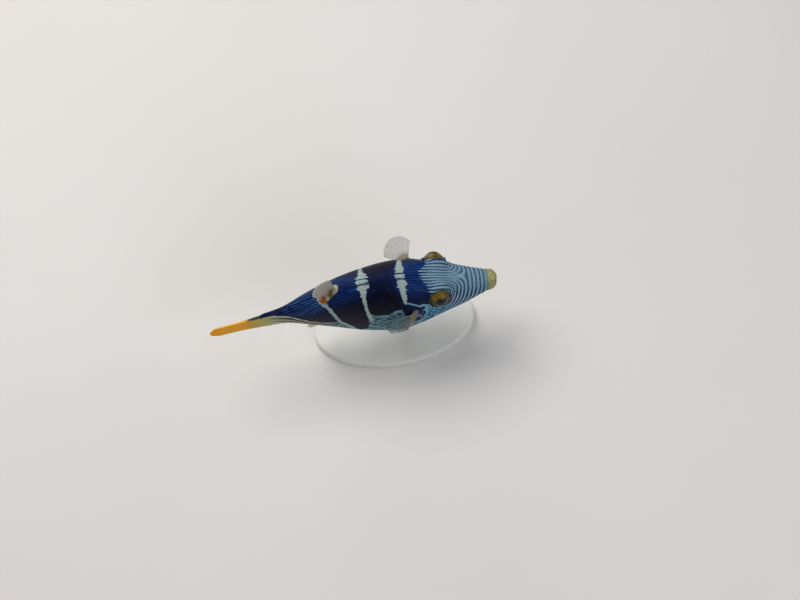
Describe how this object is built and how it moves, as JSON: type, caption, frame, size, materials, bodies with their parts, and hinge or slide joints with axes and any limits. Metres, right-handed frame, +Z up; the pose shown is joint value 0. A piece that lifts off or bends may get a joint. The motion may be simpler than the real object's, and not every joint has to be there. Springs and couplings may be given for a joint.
{
  "type": "black-saddled pufferfish model",
  "caption": "Life-size still model of a small puffer with a pointed snout, dark saddles, striped head and yellow tail, held above a flat oval base by a thin rod.",
  "frame": {"origin": "centre of the stand base's underside, on the floor", "axes": "+X towards the fish's snout, +Y to the fish's left, +Z up"},
  "size_m": [0.0796, 0.0284, 0.0452],
  "materials": {
    "striped_skin": "satin, pale blue-grey lines on dark teal",
    "saddle_skin": "satin, dark navy saddles over a pale spotted belly",
    "lips": "satin, yellow-olive",
    "teeth": "glazed",
    "eye": "clear gloss over a golden iris",
    "clear_fin": "translucent",
    "yellow_fin": "satin, olive-yellow to orange",
    "base": "matte",
    "rod": "brushed"
  },
  "bodies": {
    "root": {"upper_lip": "lips", "lower_lip": "lips", "upper_teeth": "teeth", "lower_teeth": "teeth", "snout": "striped_skin", "head": "striped_skin", "eye_left": "eye", "eye_right": "eye", "trunk": "saddle_skin", "tail_stalk": "saddle_skin", "pectoral_fin_left": "clear_fin", "pectoral_fin_right": "clear_fin", "dorsal_fin": "clear_fin", "anal_fin": "clear_fin", "caudal_fin": "yellow_fin", "stand_base": "base", "stand_rod": "rod"}
  },
  "joints": []
}
